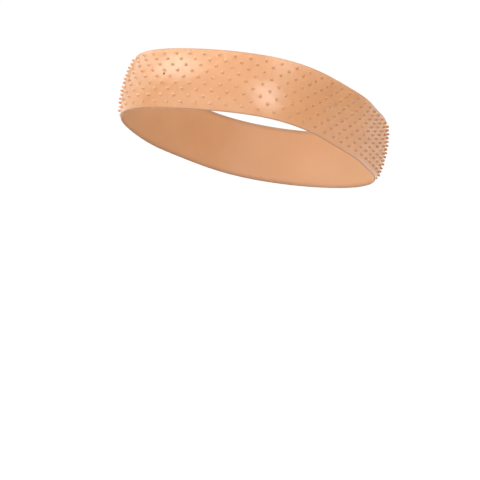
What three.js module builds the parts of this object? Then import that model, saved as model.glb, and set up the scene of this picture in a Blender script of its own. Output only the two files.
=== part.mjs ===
// A silicone wig grip band in its worn form: one closed loop of thin silicone wall, tilted up towards
// the forehead, with nine staggered rows of small tapered nubs standing on its outer face.
// +Z is up, -Y is the forehead, +X is the wearer's left. The origin is the middle of the loop.
import * as THREE from 'three';

// Wall, in millimetres and degrees
const BAND_WIDTH = 40; // from the lower rim to the upper rim, along the wall
const WALL = 1.0; // thickness between the nubs
const CORNER_DEPTH = 0.8 * WALL; // inner facets' corners lie shallower, so that their flats average the wall
const RIM_ROUND = 0.35; // how far the rounded rim stands past the end of each face
const BAND_TILT = 22.4; // rise of the loop towards the forehead
const INNER_STEPS = 3; // facets up the smooth inner face

// Nubs
const NUB_COLUMNS = 56; // nubs in a row, spaced evenly round the loop
const NUB_ROWS = 9; // rows up the wall, each shifted by half a space
const ROW_PITCH = 3.9;
const NUB_FIELD_RISE = 0.1; // the middle row's height above the middle of the wall
const NUB_BASE_RADIUS = 1.05;
const NUB_TIP_RADIUS = 0.6;
const NUB_HEIGHT = 1.7;
const NUB_SIDES = 5;

// Sections of the left half of the loop, mirrored to the right, at even turns from the forehead.
// turn: angle round from the forehead; reach: from the origin out to the middle of the wall's outer face;
// rise: that middle's height above the loop's plane; lean: how far it faces up;
// bend: how much more the upper rim faces up than the lower.
const SECTIONS = [
  { turn: 0, reach: 102.5, rise: -0.5, lean: 0.5, bend: 45 },
  { turn: 20, reach: 102.5, rise: 0, lean: 3, bend: 42 },
  { turn: 40, reach: 97, rise: 0, lean: 4, bend: 32 },
  { turn: 60, reach: 84, rise: -1, lean: 1, bend: 22 },
  { turn: 80, reach: 77, rise: -1, lean: -1, bend: 21 },
  { turn: 100, reach: 75.5, rise: -0.5, lean: -1, bend: 29 },
  { turn: 120, reach: 81, rise: 0.5, lean: -1.5, bend: 33 },
  { turn: 140, reach: 89.5, rise: 1, lean: -1, bend: 32 },
  { turn: 160, reach: 92, rise: 1, lean: 0, bend: 32 },
  { turn: 180, reach: 92, rise: 1, lean: 0, bend: 32 },
];

const SILICONE = { color: 0xe9b48d, roughness: 0.42, metalness: 0 };

const STATIONS = 2 * NUB_COLUMNS; // half spaces round the loop, station 0 at the forehead
const FINE_STEPS = 3600; // steps used to measure the loop's length
const FACE_HALF = BAND_WIDTH / 2 - RIM_ROUND; // half the width of the outer and inner faces

// Cosine series through one column of the sections: smooth, and the same on the left and the right.
function seriesThrough(column) {
  const values = SECTIONS.map((section) => section[column]);
  const last = values.length - 1;
  const weight = (index) => (index === 0 || index === last ? 0.5 : 1);
  const terms = values.map((_, order) => {
    const sum = values.reduce((total, value, row) => {
      return total + weight(row) * value * Math.cos((order * row * Math.PI) / last);
    }, 0);
    return (2 / last) * weight(order) * sum;
  });
  return (turn) => terms.reduce((total, term, order) => total + term * Math.cos(order * turn), 0);
}

const reachAt = seriesThrough('reach');
const riseAt = seriesThrough('rise');
const leanAt = seriesThrough('lean');
const bendAt = seriesThrough('bend');

// Point of the loop, on the middle line of the wall's outer face.
function loopPoint(turn) {
  const reach = reachAt(turn);
  return new THREE.Vector3(reach * Math.sin(turn), -reach * Math.cos(turn), riseAt(turn));
}

// Turns that divide the loop's length into even steps, starting at the forehead.
function evenTurns(count) {
  const step = (2 * Math.PI) / FINE_STEPS;
  const lengths = [0];
  for (let i = 1; i <= FINE_STEPS; i++) {
    const chord = loopPoint(i * step).distanceTo(loopPoint((i - 1) * step));
    lengths.push(lengths[i - 1] + chord);
  }
  const turns = [];
  let fine = 0;
  for (let k = 0; k < count; k++) {
    const goal = (lengths[FINE_STEPS] * k) / count;
    while (lengths[fine + 1] <= goal) fine++;
    const part = (goal - lengths[fine]) / (lengths[fine + 1] - lengths[fine]);
    turns.push((fine + part) * step);
  }
  return turns;
}

const stationTurns = evenTurns(STATIONS);

// Frame on the wall's outer face: a point, the directions along the loop and up the wall, and the
// outward normal. The wall's section is an arc that turns by the section's bend over the band's width.
function wallFrame(station, height) {
  const turn = stationTurns[(station + STATIONS) % STATIONS];
  const nudge = Math.PI / FINE_STEPS;
  const along = loopPoint(turn + nudge).sub(loopPoint(turn - nudge)).setZ(0).normalize();
  const outward = new THREE.Vector3(along.y, -along.x, 0);
  const upward = new THREE.Vector3(0, 0, 1);
  const lean = THREE.MathUtils.degToRad(leanAt(turn));
  const curve = THREE.MathUtils.degToRad(bendAt(turn)) / BAND_WIDTH;
  const facing = lean + curve * height;
  const point = loopPoint(turn);
  point.addScaledVector(upward, (Math.sin(facing) - Math.sin(lean)) / curve);
  point.addScaledVector(outward, (Math.cos(facing) - Math.cos(lean)) / curve);
  const normal = outward.clone().multiplyScalar(Math.cos(facing)).addScaledVector(upward, Math.sin(facing));
  const up = upward.clone().multiplyScalar(Math.cos(facing)).addScaledVector(outward, -Math.sin(facing));
  return { point, along, up, normal };
}

// Height of a nub row on the wall, row 0 at the top. The rows just past the field are the rims.
function rowHeight(row) {
  if (row < 0) return FACE_HALF;
  if (row >= NUB_ROWS) return -FACE_HALF;
  return NUB_FIELD_RISE + ((NUB_ROWS - 1) / 2 - row) * ROW_PITCH;
}

// Vertices and triangles of the band, shared so that the skin is closed.
const vertices = [];
const triangles = [];
const named = new Map();

function addVertex(point) {
  vertices.push(point.x, point.y, point.z);
  return vertices.length / 3 - 1;
}

function addQuad(a, b, c, d) {
  triangles.push(a, b, c, a, c, d);
}

// One vertex for each name, made the first time that it is asked for.
function sharedVertex(name, makePoint) {
  if (!named.has(name)) named.set(name, addVertex(makePoint()));
  return named.get(name);
}

function outerVertex(station, row) {
  const wrapped = (station + STATIONS) % STATIONS;
  return sharedVertex(`outer ${wrapped} ${row}`, () => wallFrame(wrapped, rowHeight(row)).point);
}

function innerVertex(station, step) {
  const wrapped = station % STATIONS;
  return sharedVertex(`inner ${wrapped} ${step}`, () => {
    const frame = wallFrame(wrapped, FACE_HALF * (1 - (2 * step) / INNER_STEPS));
    return frame.point.addScaledVector(frame.normal, -CORNER_DEPTH);
  });
}

// Crest of the rounded rim, half way through the wall; side is 1 at the upper rim and -1 at the lower.
function rimVertex(station, side) {
  const wrapped = station % STATIONS;
  return sharedVertex(`rim ${wrapped} ${side}`, () => {
    const frame = wallFrame(wrapped, side * FACE_HALF);
    frame.point.addScaledVector(frame.normal, -CORNER_DEPTH / 2);
    return frame.point.addScaledVector(frame.up, side * RIM_ROUND);
  });
}

// Ring of vertices about a frame, anticlockwise from straight up the wall.
function ringVertices(frame, radius, lift) {
  const ring = [];
  for (let side = 0; side < NUB_SIDES; side++) {
    const angle = Math.PI / 2 + (2 * Math.PI * side) / NUB_SIDES;
    const point = frame.point.clone().addScaledVector(frame.normal, lift);
    point.addScaledVector(frame.along, radius * Math.cos(angle));
    point.addScaledVector(frame.up, radius * Math.sin(angle));
    ring.push(addVertex(point));
  }
  return ring;
}

// Triangles that fill the space between an outer and an inner ring, stepping along whichever lags.
function fillBetween(outer, inner) {
  let i = 0;
  let j = 0;
  while (i < outer.length || j < inner.length) {
    const a = outer[i % outer.length];
    const b = inner[j % inner.length];
    if ((i + 0.5) / outer.length < (j + 0.5) / inner.length) {
      triangles.push(a, outer[(i + 1) % outer.length], b);
      i++;
    } else {
      triangles.push(a, inner[(j + 1) % inner.length], b);
      j++;
    }
  }
}

// One nub on the diamond of wall that belongs to it: the diamond round its foot, its sides and its tip.
function addNub(station, row) {
  const diamond = [
    outerVertex(station, row - 1),
    outerVertex(station - 1, row),
    outerVertex(station, row + 1),
    outerVertex(station + 1, row),
  ];
  const frame = wallFrame(station, rowHeight(row));
  const foot = ringVertices(frame, NUB_BASE_RADIUS, 0);
  const tip = ringVertices(frame, NUB_TIP_RADIUS, NUB_HEIGHT);
  fillBetween(diamond, foot);
  for (let side = 0; side < NUB_SIDES; side++) {
    const next = (side + 1) % NUB_SIDES;
    addQuad(foot[side], foot[next], tip[next], tip[side]);
  }
  for (let side = 1; side < NUB_SIDES - 1; side++) {
    triangles.push(tip[0], tip[side], tip[side + 1]);
  }
}

// Outer face: the nub rows stand half a space apart in turn, and half diamonds finish the two rims.
for (let row = 0; row < NUB_ROWS; row++) {
  for (let station = (row + 1) % 2; station < STATIONS; station += 2) addNub(station, row);
}
for (let station = 1; station < STATIONS; station += 2) {
  triangles.push(outerVertex(station, -1), outerVertex(station + 1, 0), outerVertex(station + 2, -1));
  triangles.push(
    outerVertex(station, NUB_ROWS),
    outerVertex(station + 2, NUB_ROWS),
    outerVertex(station + 1, NUB_ROWS - 1),
  );
}

// Rounded rims and the smooth inner face, in strips one space wide.
for (let station = 1; station < STATIONS; station += 2) {
  const next = station + 2;
  const upper = [rimVertex(station, 1), rimVertex(next, 1)];
  const lower = [rimVertex(station, -1), rimVertex(next, -1)];
  addQuad(outerVertex(station, -1), outerVertex(next, -1), upper[1], upper[0]);
  addQuad(upper[0], upper[1], innerVertex(next, 0), innerVertex(station, 0));
  addQuad(lower[0], lower[1], outerVertex(next, NUB_ROWS), outerVertex(station, NUB_ROWS));
  addQuad(innerVertex(station, INNER_STEPS), innerVertex(next, INNER_STEPS), lower[1], lower[0]);
  for (let step = 0; step < INNER_STEPS; step++) {
    addQuad(
      innerVertex(station, step),
      innerVertex(next, step),
      innerVertex(next, step + 1),
      innerVertex(station, step + 1),
    );
  }
}

const bandGeometry = new THREE.BufferGeometry();
bandGeometry.setAttribute('position', new THREE.Float32BufferAttribute(vertices, 3));
bandGeometry.setIndex(triangles);
bandGeometry.computeVertexNormals();

const gripBand = new THREE.Mesh(bandGeometry, new THREE.MeshStandardMaterial(SILICONE));
gripBand.name = 'grip_band';
gripBand.rotation.x = -THREE.MathUtils.degToRad(BAND_TILT);

const wigGripBand = new THREE.Group();
wigGripBand.add(gripBand);

export default wigGripBand;
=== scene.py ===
import bpy
import numpy as np
from mathutils import Matrix, Vector


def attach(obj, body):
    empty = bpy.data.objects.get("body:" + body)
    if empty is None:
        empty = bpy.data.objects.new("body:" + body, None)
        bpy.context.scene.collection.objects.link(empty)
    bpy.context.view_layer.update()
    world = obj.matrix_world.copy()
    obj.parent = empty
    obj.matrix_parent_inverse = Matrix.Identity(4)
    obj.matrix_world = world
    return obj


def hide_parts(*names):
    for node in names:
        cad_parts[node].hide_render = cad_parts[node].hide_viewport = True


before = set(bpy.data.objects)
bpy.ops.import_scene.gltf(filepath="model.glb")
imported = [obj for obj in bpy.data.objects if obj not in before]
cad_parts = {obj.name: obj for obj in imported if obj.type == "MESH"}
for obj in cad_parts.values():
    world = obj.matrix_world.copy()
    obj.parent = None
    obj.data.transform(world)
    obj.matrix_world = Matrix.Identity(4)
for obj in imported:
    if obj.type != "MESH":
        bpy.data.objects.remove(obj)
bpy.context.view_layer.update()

print("frame loaded:", ", ".join(sorted(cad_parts)))

mm = 0.001  # the band's tables are in millimetres and degrees, the scene is in metres

# The worn loop. The lists have one value at every 20 degrees of turn, from the front round to the back,
# and the other half mirrors them.
band = {
    "width": 40.0,  # lower rim to upper rim, along the wall
    "wall": 1.0,  # thickness
    "tilt": 22.4,  # rise of the loop towards the front
    # from the origin out to the middle of the outer face
    "reach": [102.5, 102.5, 97.0, 84.0, 77.0, 75.5, 81.0, 89.5, 92.0, 92.0],
    # height of that middle above the loop's plane
    "rise": [-0.5, 0.0, 0.0, -1.0, -1.0, -0.5, 0.5, 1.0, 1.0, 1.0],
    # how far the wall faces up there
    "lean": [0.5, 3.0, 4.0, 1.0, -1.0, -1.0, -1.5, -1.0, 0.0, 0.0],
    # how much more the upper rim faces up than the lower
    "bend": [45.0, 42.0, 32.0, 22.0, 21.0, 29.0, 33.0, 32.0, 32.0, 32.0],
    "fineSteps": 3600,  # steps that measure the loop's length
    "edgeSteps": 3,  # strips between the nub field and each rim
    "rimSteps": 6,  # facets round each rim
    "innerSteps": 16,  # strips up the smooth inner face
}

nub = {
    "columns": 56,
    "rows": 9,
    "rowPitch": 3.9,
    "fieldRise": 0.1,  # middle row above the middle of the wall
    "collar": 0.18,  # flat ring of wall about the foot
    "footRadius": 0.86,
    "fillet": 0.22,
    "shoulderRadius": 0.66,
    "shoulderLift": 1.5,
    "domeRise": 0.2,
    "filletAngles": [0.0, 75.0],
    "domeAngles": [0.0, 50.0],
    "outlineColumns": [2, 2, 1, 0, -1, -2, -2, -2, -1, 0, 1, 2],  # quarters of a space
    "outlineLevels": [0, 1, 1, 1, 1, 1, 0, -1, -1, -1, -1, -1],  # half rows
}
nubHeight = nub["shoulderLift"] + nub["domeRise"]


def seriesThrough(rows, turn):
    # Cosine series through the evenly spaced rows: the terms that give the rows exactly, summed at each
    # turn.
    orders = np.arange(len(rows))
    rowTurns = np.linspace(0.0, np.pi, len(rows))
    terms = np.linalg.solve(np.cos(np.outer(rowTurns, orders)), np.array(rows))
    return np.cos(np.multiply.outer(turn, orders)) @ terms


def loopPoint(turn):
    # Reach times the sine and minus the cosine of the turn, and the rise: turn 0 is the front, and it
    # grows towards +X.
    reach = seriesThrough(band["reach"], turn)
    rise = seriesThrough(band["rise"], turn)
    return np.stack([reach * np.sin(turn), -reach * np.cos(turn), rise], axis=-1)


# Length round the loop: the sum of the chords between fine turns
fineTurns = np.linspace(0.0, 2.0 * np.pi, band["fineSteps"] + 1)
fineChords = np.linalg.norm(np.diff(loopPoint(fineTurns), axis=0), axis=1)
fineLengths = np.concatenate([[0.0], np.cumsum(fineChords)])
loopLength = fineLengths[-1]
print("loop length %.1f mm" % loopLength)


def wallPoint(position, height, lift):
    # The wall's section across the loop is an arc: its facing angle starts from the lean and grows evenly
    # with height. The point is the loop's point, plus the differences of the facing angle's sine (upward)
    # and cosine (outward) over the curvature, plus the lift along the normal. The whole loop then tilts
    # about X.
    turn = np.interp(position % loopLength, fineLengths, fineTurns)
    nudge = np.pi / band["fineSteps"]
    along = (loopPoint(turn + nudge) - loopPoint(turn - nudge))[..., :2]
    along = along / np.linalg.norm(along, axis=-1, keepdims=True)
    lean = np.radians(seriesThrough(band["lean"], turn))
    curve = np.radians(seriesThrough(band["bend"], turn)) / band["width"]
    facing = lean + curve * height
    outward = (np.cos(facing) - np.cos(lean)) / curve + lift * np.cos(facing)
    middle = loopPoint(turn)
    upward = middle[..., 2] + (np.sin(facing) - np.sin(lean)) / curve + lift * np.sin(facing)
    x = middle[..., 0] + outward * along[..., 1]
    y = middle[..., 1] - outward * along[..., 0]
    tilt = np.radians(band["tilt"])
    tiltedY = np.cos(tilt) * y + np.sin(tilt) * upward
    tiltedZ = np.cos(tilt) * upward - np.sin(tilt) * y
    return np.stack([x, tiltedY, tiltedZ], axis=-1) * mm


def nubProfile():
    # Radius and lift from the collar to the tip: a flat collar, a hollow arc at the foot, a straight taper
    # to the shoulder, and the arc of an ellipse over the dome.
    hollow = np.radians(nub["filletAngles"])
    dome = np.radians(nub["domeAngles"])
    footRadius = nub["footRadius"] + nub["fillet"] * (1.0 - np.sin(hollow))
    footLift = nub["fillet"] * (1.0 - np.cos(hollow))
    domeRadius = nub["shoulderRadius"] * np.cos(dome)
    domeLift = nub["shoulderLift"] + nub["domeRise"] * np.sin(dome)
    collarRadius = [footRadius[0] + nub["collar"]]
    radius = np.concatenate([collarRadius, footRadius, domeRadius])
    lift = np.concatenate([[0.0], footLift, domeLift])
    return radius, lift


def wallProfile(fieldTop, fieldBottom):
    # Height and lift of the plain part of the section, from the top of the nub field over the upper rim,
    # down the inner face, round the lower rim and up to the foot of the field. Each rim is a half circle
    # as thick as the wall.
    rimRadius = band["wall"] / 2.0
    faceEnd = band["width"] / 2.0 - rimRadius
    around = np.linspace(0.0, np.pi, band["rimSteps"] + 1)
    rimHeight = faceEnd + rimRadius * np.sin(around)
    rimLift = rimRadius * (np.cos(around) - 1.0)
    upperEdge = np.linspace(fieldTop, faceEnd, band["edgeSteps"] + 1)[:-1]
    lowerEdge = np.linspace(-faceEnd, fieldBottom, band["edgeSteps"] + 1)[1:]
    inner = np.linspace(faceEnd, -faceEnd, band["innerSteps"] + 1)[1:-1]
    innerLift = np.full_like(inner, -band["wall"])
    edgeLift = np.zeros(band["edgeSteps"])
    height = np.concatenate([upperEdge, rimHeight, inner, -rimHeight[::-1], lowerEdge])
    lift = np.concatenate([edgeLift, rimLift, innerLift, rimLift[::-1], edgeLift])
    return height, lift


def bandSurface():
    # Every nub has a brick-shaped cell of wall. Its outline is ring 0; the rest are the circles of the
    # nub's profile, closed by a pole. The outlines stand on one lattice, so neighbours share them, and the
    # plain section is carried round the loop on the lattice's columns to close the wall.
    quarters = 4  # lattice columns in one space between nubs
    columns = quarters * nub["columns"]
    levels = 2 * nub["rows"] + 1
    step = loopLength / columns
    halfRow = nub["rowPitch"] / 2.0
    fieldBottom = nub["fieldRise"] - nub["rows"] * halfRow
    fieldTop = fieldBottom + (levels - 1) * halfRow

    latticeColumn, latticeLevel = np.meshgrid(np.arange(columns), np.arange(levels), indexing="ij")
    latticePosition = latticeColumn * step
    latticeHeight = fieldBottom + latticeLevel * halfRow

    # Middle and outline of each cell, on the lattice
    row, column = np.meshgrid(np.arange(nub["rows"]), np.arange(nub["columns"]), indexing="ij")
    row, column = row.ravel(), column.ravel()
    middleColumn = quarters * column + (quarters // 2) * ((row + 1) % 2)
    middleLevel = 2 * row + 1
    cellColumn = (middleColumn[:, None] + np.array(nub["outlineColumns"])) % columns
    cellLevel = middleLevel[:, None] + np.array(nub["outlineLevels"])
    outline = cellColumn * levels + cellLevel

    # Circles about the middle, a ring for each point of the profile
    radius, lift = nubProfile()
    rings = len(radius)
    sides = len(nub["outlineColumns"])
    cells = len(row)
    angle = 2.0 * np.pi * np.arange(sides) / sides
    middlePosition = middleColumn * step
    middleHeight = fieldBottom + middleLevel * halfRow
    ringPosition = middlePosition[:, None, None] + radius[:, None] * np.cos(angle)
    ringHeight = middleHeight[:, None, None] + radius[:, None] * np.sin(angle)
    ringLift = np.broadcast_to(lift[:, None], ringPosition.shape)

    plainHeight, plainLift = wallProfile(fieldTop, fieldBottom)
    plainHeight, plainLift = plainHeight[1:-1], plainLift[1:-1]  # both ends are on the lattice
    sweepPosition = np.broadcast_to(np.arange(columns) * step, (len(plainHeight), columns))
    sweepHeight = np.broadcast_to(plainHeight[:, None], sweepPosition.shape)
    sweepLift = np.broadcast_to(plainLift[:, None], sweepPosition.shape)

    blocks = [
        (latticePosition, latticeHeight, np.zeros_like(latticeHeight)),
        (ringPosition, ringHeight, ringLift),
        (middlePosition, middleHeight, np.full(cells, nubHeight)),
        (sweepPosition, sweepHeight, sweepLift),
    ]
    position, height, liftAll = (np.concatenate([block[i].ravel() for block in blocks]) for i in range(3))
    starts = np.cumsum([0] + [block[0].size for block in blocks])

    # Faces of the cells: each ring joined to the next, and the last one to its pole
    ringIds = starts[1] + np.arange(cells * rings * sides).reshape(cells, rings, sides)
    chain = np.concatenate([outline[:, None, :], ringIds], axis=1)
    ahead = np.roll(chain, -1, axis=2)
    nubQuads = np.stack([chain[:, :-1], ahead[:, :-1], ahead[:, 1:], chain[:, 1:]], axis=-1).reshape(-1, 4)
    pole = np.repeat(starts[2] + np.arange(cells)[:, None], sides, axis=1)
    tipFaces = np.stack([chain[:, -1], ahead[:, -1], pole], axis=-1).reshape(-1, 3)

    # Faces of the plain wall: strips from the lattice's top round the section to its bottom
    sweepIds = starts[3] + np.arange(sweepPosition.size).reshape(sweepPosition.shape)
    bottomIds = np.arange(columns) * levels
    topIds = bottomIds + levels - 1
    strip = np.vstack([topIds, sweepIds, bottomIds])
    stripAhead = np.roll(strip, -1, axis=1)
    wallQuads = np.stack([strip[:-1], stripAhead[:-1], stripAhead[1:], strip[1:]], axis=-1).reshape(-1, 4)

    # Lattice points that no cell uses are left out
    quads = np.vstack([nubQuads, wallQuads])
    used, compact = np.unique(np.concatenate([quads.ravel(), tipFaces.ravel()]), return_inverse=True)
    faces = compact[: quads.size].reshape(-1, 4).tolist() + compact[quads.size:].reshape(-1, 3).tolist()
    points = wallPoint(position[used], height[used], liftAll[used])
    return points, faces, position[used], height[used], liftAll[used]


silicone = {
    "wallColour": (0.404, 0.212, 0.095, 1.0),
    "patchColour": (0.421, 0.225, 0.105, 1.0),  # paler patches of the wall
    # the nubs' darker tone is partly their own silicone and partly painted shade on their sides
    "nubToneAndShade": (0.300, 0.144, 0.066, 1.0),
    "nubEnds": (0.0, 0.15),  # share of a nub's height over which its tone and finish come in
    "paleNubColour": (0.402, 0.214, 0.108, 1.0),  # painted light on the nubs round the front
    "paintedLightMiddle": -32.0,  # middle of that painted light, along the loop
    "paintedLightEnds": [52.0, 105.0],  # how far from the middle it starts to fade, and where it ends
    # painted shade: a thin dark line along both rims
    "rimShadeColour": (0.20, 0.11, 0.065, 1.0),
    "rimShadeEnds": [0.3, 0.8],  # from the edge: full painted shade, and none
    "roughness": (0.28, 0.33),
    "glossRange": (0.3, 0.7),  # of the clouds, for that roughness
    "mattRoughness": 0.8,  # of the rims and the mark
    "nubMatt": 0.75,  # how far the nubs go towards it
    "innerMatt": 0.55,  # how far the inner face goes towards it
    "specular": 0.60,
    "ior": 1.45,
    "scatter": 1.0,
    "scatterRadius": (1.0, 0.85, 0.75),
    "scatterReach": 2.5,
    "cloudScale": 28.0,  # mottling, patches of about 35 mm
    "cloudDetail": 3.0,
    "cloudRange": (0.35, 0.65),  # of the clouds, from wall to patch colour
    "grainScale": 2600.0,  # fine mould texture, about 0.4 mm
    "grainDetail": 2.0,
    "grainBump": 0.04,
    "grainDepth": 0.2,
    "speckPosition": -20.0,  # small dark mark: place along the loop and up the wall
    "speckHeight": 1.5,
    "speckRadius": 0.92,
    "speckCore": 0.6,  # share of the radius that is fully dark
    "speckColour": (0.04, 0.014, 0.005, 1.0),
}


def floatAttribute(mesh, name, values):
    attribute = mesh.attributes.new(name, "FLOAT", "POINT")
    attribute.data.foreach_set("value", np.asarray(values, dtype=np.float32))


def makeBand():
    points, faces, position, height, lift = bandSurface()
    mesh = bpy.data.meshes.new("grip_band_moulded")
    mesh.from_pydata(points.tolist(), [], faces)
    mesh.polygons.foreach_set("use_smooth", np.ones(len(mesh.polygons), dtype=bool))
    floatAttribute(mesh, "nubShare", np.clip(lift / nubHeight, 0.0, 1.0))
    # Distance round the loop from the middle of the nubs' painted light, the shorter way
    half = loopLength / 2.0
    paintedLightDistance = np.abs((position - silicone["paintedLightMiddle"] + half) % loopLength - half)
    floatAttribute(mesh, "paintedLightShare", np.interp(paintedLightDistance, silicone["paintedLightEnds"], [1.0, 0.0]))
    # The rims' painted shade is full near the edge and fades away from it; rims and inner face are less
    # glossy
    fromEdge = band["width"] / 2.0 - np.abs(height)
    rimShadeShare = np.interp(fromEdge, silicone["rimShadeEnds"], [1.0, 0.0])
    innerShare = np.clip(-lift / band["wall"], 0.0, 1.0)
    floatAttribute(mesh, "rimShadeShare", rimShadeShare)
    floatAttribute(mesh, "mattShare", np.maximum(rimShadeShare, silicone["innerMatt"] * innerShare))
    mesh.update()
    piece = bpy.data.objects.new("grip_band_moulded", mesh)
    bpy.context.scene.collection.objects.link(piece)
    print("band: %d faces" % len(faces))
    return piece


def newNode(tree, kind, place, **settings):
    node = tree.nodes.new(kind)
    node.location = place
    for name, value in settings.items():
        setattr(node, name, value)
    return node


def feed(tree, source, socket):
    # Another node's output is linked, a plain value is set on the socket itself
    if isinstance(source, bpy.types.NodeSocket):
        tree.links.new(source, socket)
    else:
        socket.default_value = source


def attributeValue(tree, place, name):
    return newNode(tree, "ShaderNodeAttribute", place, attribute_name=name).outputs["Fac"]


def noiseValue(tree, place, coordinates, scale, detail):
    noise = newNode(tree, "ShaderNodeTexNoise", place)
    feed(tree, coordinates, noise.inputs["Vector"])
    feed(tree, scale, noise.inputs["Scale"])
    feed(tree, detail, noise.inputs["Detail"])
    return noise.outputs["Fac"]


def mixColours(tree, place, factor, first, second):
    mix = newNode(tree, "ShaderNodeMix", place, data_type="RGBA")
    feed(tree, factor, mix.inputs["Factor"])
    feed(tree, first, mix.inputs["A"])
    feed(tree, second, mix.inputs["B"])
    return mix.outputs["Result"]


def ramp(tree, place, value, fromEnds, toEnds=(0.0, 1.0)):
    # Straight line from one pair of ends to the other, held at the ends
    line = newNode(tree, "ShaderNodeMapRange", place)
    feed(tree, value, line.inputs["Value"])
    for name, end in zip(("From Min", "From Max", "To Min", "To Max"), (*fromEnds, *toEnds)):
        feed(tree, end, line.inputs[name])
    return line.outputs["Result"]


def larger(tree, place, first, second):
    choice = newNode(tree, "ShaderNodeMath", place, operation="MAXIMUM")
    feed(tree, first, choice.inputs[0])
    feed(tree, second, choice.inputs[1])
    return choice.outputs["Value"]


def siliconeMaterial():
    material = bpy.data.materials.new("tan_silicone")
    material.use_nodes = True
    tree = material.node_tree
    shader = tree.nodes["Principled BSDF"]
    shader.inputs["Subsurface Weight"].default_value = silicone["scatter"]
    shader.inputs["Subsurface Radius"].default_value = silicone["scatterRadius"]
    shader.inputs["Subsurface Scale"].default_value = silicone["scatterReach"] * mm
    shader.inputs["IOR"].default_value = silicone["ior"]
    shader.inputs["Specular IOR Level"].default_value = silicone["specular"]
    coordinates = newNode(tree, "ShaderNodeTexCoord", (-1300, 0)).outputs["Object"]

    # Colour: mottled wall, then nubs with painted shade and painted light, the rims' painted shade and the
    # mark over it
    clouds = noiseValue(tree, (-1100, 200), coordinates, silicone["cloudScale"], silicone["cloudDetail"])
    cloudShare = ramp(tree, (-1000, 420), clouds, silicone["cloudRange"])
    wall = mixColours(tree, (-850, 250), cloudShare, silicone["wallColour"], silicone["patchColour"])
    nubShare = attributeValue(tree, (-1100, -100), "nubShare")
    nubTint = ramp(tree, (-850, -50), nubShare, silicone["nubEnds"])
    # Nub colour: their own darker tone with painted shade, and painted light round the front
    paintedLightShare = attributeValue(tree, (-1100, -220), "paintedLightShare")
    nubShadeAndLight = mixColours(tree, (-850, -120), paintedLightShare, silicone["nubToneAndShade"], silicone["paleNubColour"])
    nubs = mixColours(tree, (-600, 200), nubTint, wall, nubShadeAndLight)
    # Painted shade along both rims
    rimShadeShare = attributeValue(tree, (-850, -220), "rimShadeShare")
    rimShaded = mixColours(tree, (-480, 330), rimShadeShare, nubs, silicone["rimShadeColour"])

    # The mark is a round spot: the distance from its own point, full within the core
    speckPoint = wallPoint(*np.array([silicone["speckPosition"], silicone["speckHeight"], 0.0]))
    distance = newNode(tree, "ShaderNodeVectorMath", (-1100, -350), operation="DISTANCE")
    feed(tree, coordinates, distance.inputs[0])
    feed(tree, speckPoint.tolist(), distance.inputs[1])
    speckRadius = silicone["speckRadius"] * mm
    speckEnds = (speckRadius, speckRadius * silicone["speckCore"])
    speckShare = ramp(tree, (-850, -350), distance.outputs["Value"], speckEnds)
    marked = mixColours(tree, (-350, 150), speckShare, rimShaded, silicone["speckColour"])
    feed(tree, marked, shader.inputs["Base Color"])

    # Roughness: cloudy gloss on the wall, matter on the nubs, the rims, the inner face and the mark
    gloss = ramp(tree, (-600, -100), clouds, silicone["glossRange"], silicone["roughness"])
    nubMatt = ramp(tree, (-850, -560), nubShare, silicone["nubEnds"], (0.0, silicone["nubMatt"]))
    mattShare = attributeValue(tree, (-850, -700), "mattShare")
    matt = larger(tree, (-600, -560), larger(tree, (-720, -560), nubMatt, mattShare), speckShare)
    roughness = ramp(tree, (-350, -100), matt, (0.0, 1.0), (gloss, silicone["mattRoughness"]))
    feed(tree, roughness, shader.inputs["Roughness"])

    grain = noiseValue(tree, (-600, -400), coordinates, silicone["grainScale"], silicone["grainDetail"])
    bump = newNode(tree, "ShaderNodeBump", (-350, -350))
    feed(tree, silicone["grainBump"], bump.inputs["Strength"])
    feed(tree, silicone["grainDepth"] * mm, bump.inputs["Distance"])
    feed(tree, grain, bump.inputs["Height"])
    feed(tree, bump.outputs["Normal"], shader.inputs["Normal"])
    return material


bandPiece = makeBand()
bandPiece.data.materials.append(siliconeMaterial())
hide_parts("grip_band")
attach(bandPiece, "root")
print("band placed")

# Floor and sky, in metres
stage = {
    "floorDrop": 0.70,  # floor below the middle of the loop
    "floorSize": 80.0,
    "floorColour": (0.80, 0.80, 0.80, 1.0),
    "floorRoughness": 0.9,
    "skyColour": (1.0, 1.0, 1.0, 1.0),
    "zenithStrength": 1.92,  # the sky fades from the zenith to nothing at the horizon
}


def makeFloor():
    # Flat square about the origin, the drop below it
    half = stage["floorSize"] / 2.0
    corners = [(-half, -half), (half, -half), (half, half), (-half, half)]
    mesh = bpy.data.meshes.new("floor")
    mesh.from_pydata([(x, y, -stage["floorDrop"]) for x, y in corners], [], [(0, 1, 2, 3)])
    floor = bpy.data.objects.new("floor", mesh)
    bpy.context.scene.collection.objects.link(floor)
    material = bpy.data.materials.new("pale_floor")
    material.use_nodes = True
    shader = material.node_tree.nodes["Principled BSDF"]
    shader.inputs["Base Color"].default_value = stage["floorColour"]
    shader.inputs["Roughness"].default_value = stage["floorRoughness"]
    mesh.materials.append(material)


def makeSky():
    # Strength is the zenith's times the upward part of the direction, and nothing below the horizon
    world = bpy.data.worlds.new("studio")
    world.use_nodes = True
    tree = world.node_tree
    background = tree.nodes["Background"]
    background.inputs["Color"].default_value = stage["skyColour"]
    direction = newNode(tree, "ShaderNodeTexCoord", (-700, 0)).outputs["Generated"]
    height = newNode(tree, "ShaderNodeVectorMath", (-500, 0), operation="DOT_PRODUCT")
    feed(tree, direction, height.inputs[0])
    feed(tree, (0.0, 0.0, stage["zenithStrength"]), height.inputs[1])
    strength = larger(tree, (-300, 0), height.outputs["Value"], 0.0)
    feed(tree, strength, background.inputs["Strength"])
    bpy.context.scene.world = world


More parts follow.
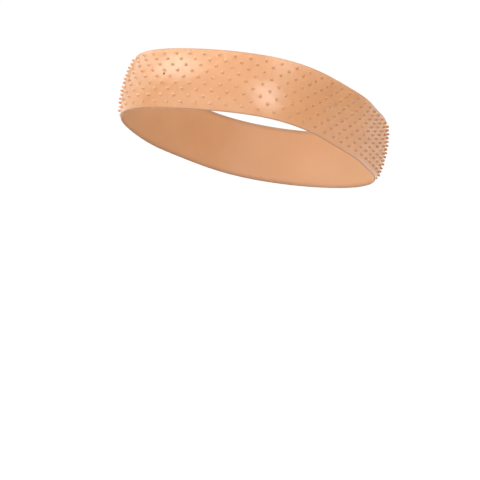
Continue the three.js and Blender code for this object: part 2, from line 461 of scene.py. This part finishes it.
# Soft boxes round the loop, in metres and watts: azimuth 0 is straight in front, positive towards +X
softBoxes = {
    "keyLeft": {"azimuth": -55.0, "rise": 41.0, "away": 1.5, "size": (0.95, 0.62), "power": 11.3},
    "keyRight": {"azimuth": 44.0, "rise": 25.0, "away": 1.5, "size": (0.80, 0.69), "power": 13.8},
    "highRight": {"azimuth": 95.0, "rise": 55.0, "away": 1.5, "size": (0.80, 0.60), "power": 4.4},
    "lowFront": {"azimuth": -12.0, "rise": 7.0, "away": 1.5, "size": (2.0, 0.6), "power": 8.4},
    "sideLeft": {"azimuth": -94.0, "rise": 13.0, "away": 1.5, "size": (1.6, 1.1), "power": 7.1},
    "backFill": {"azimuth": -165.0, "rise": 40.0, "away": 1.8, "size": (1.2, 1.2), "power": 8.0},
}


def awayFrom(azimuth, rise):
    # Unit direction from the origin: azimuth round from the front, rise above the horizon
    azimuth, rise = np.radians(azimuth), np.radians(rise)
    level = np.cos(rise)
    return Vector((np.sin(azimuth) * level, -np.cos(azimuth) * level, np.sin(rise)))


def makeLights():
    for name, box in softBoxes.items():
        light = bpy.data.lights.new(name, "AREA")
        light.shape = "RECTANGLE"
        light.size, light.size_y = box["size"]
        light.energy = box["power"]
        lamp = bpy.data.objects.new(name, light)
        direction = awayFrom(box["azimuth"], box["rise"])
        lamp.location = direction * box["away"]
        lamp.rotation_euler = direction.to_track_quat("Z", "Y").to_euler()  # shines towards the origin
        lamp.visible_camera = False
        bpy.context.scene.collection.objects.link(lamp)


# The picture: where the camera stands, and where the loop's middle falls in a frame 480 pixels square
picture = {
    "azimuth": 27.418,
    "rise": 9.862,
    "away": 1.3,  # metres
    "pixelsPerMetre": 1536.6,  # at the loop's middle
    "middlePixel": (261.133, 124.105),
    "framePixels": 480.0,
    "sensor": 36.0,
    "farthest": 100.0,  # metres, where the camera stops seeing
}


def makeCamera():
    # Back from the loop's middle along the view, then sideways and down until that middle falls on its
    # pixel. The focal length is the scale at the middle times the distance, in sensor widths.
    back = awayFrom(picture["azimuth"], picture["rise"])
    right = Vector((0.0, 0.0, 1.0)).cross(back).normalized()
    up = back.cross(right)
    half = picture["framePixels"] / 2.0
    acrossShift = (picture["middlePixel"][0] - half) / picture["pixelsPerMetre"]
    upShift = (half - picture["middlePixel"][1]) / picture["pixelsPerMetre"]
    lens = bpy.data.cameras.new("camera")
    lens.sensor_width = picture["sensor"]
    lens.lens = picture["pixelsPerMetre"] * picture["away"] * picture["sensor"] / picture["framePixels"]
    lens.clip_end = picture["farthest"]
    camera = bpy.data.objects.new("camera", lens)
    place = back * picture["away"] - right * acrossShift - up * upShift
    turn = Matrix((right, up, back)).transposed().to_4x4()
    camera.matrix_world = Matrix.Translation(place) @ turn
    bpy.context.scene.collection.objects.link(camera)
    bpy.context.scene.camera = camera


makeFloor()
makeSky()
makeLights()
makeCamera()
bpy.context.scene.view_settings.view_transform = "Standard"
print("stage, light and camera ready")
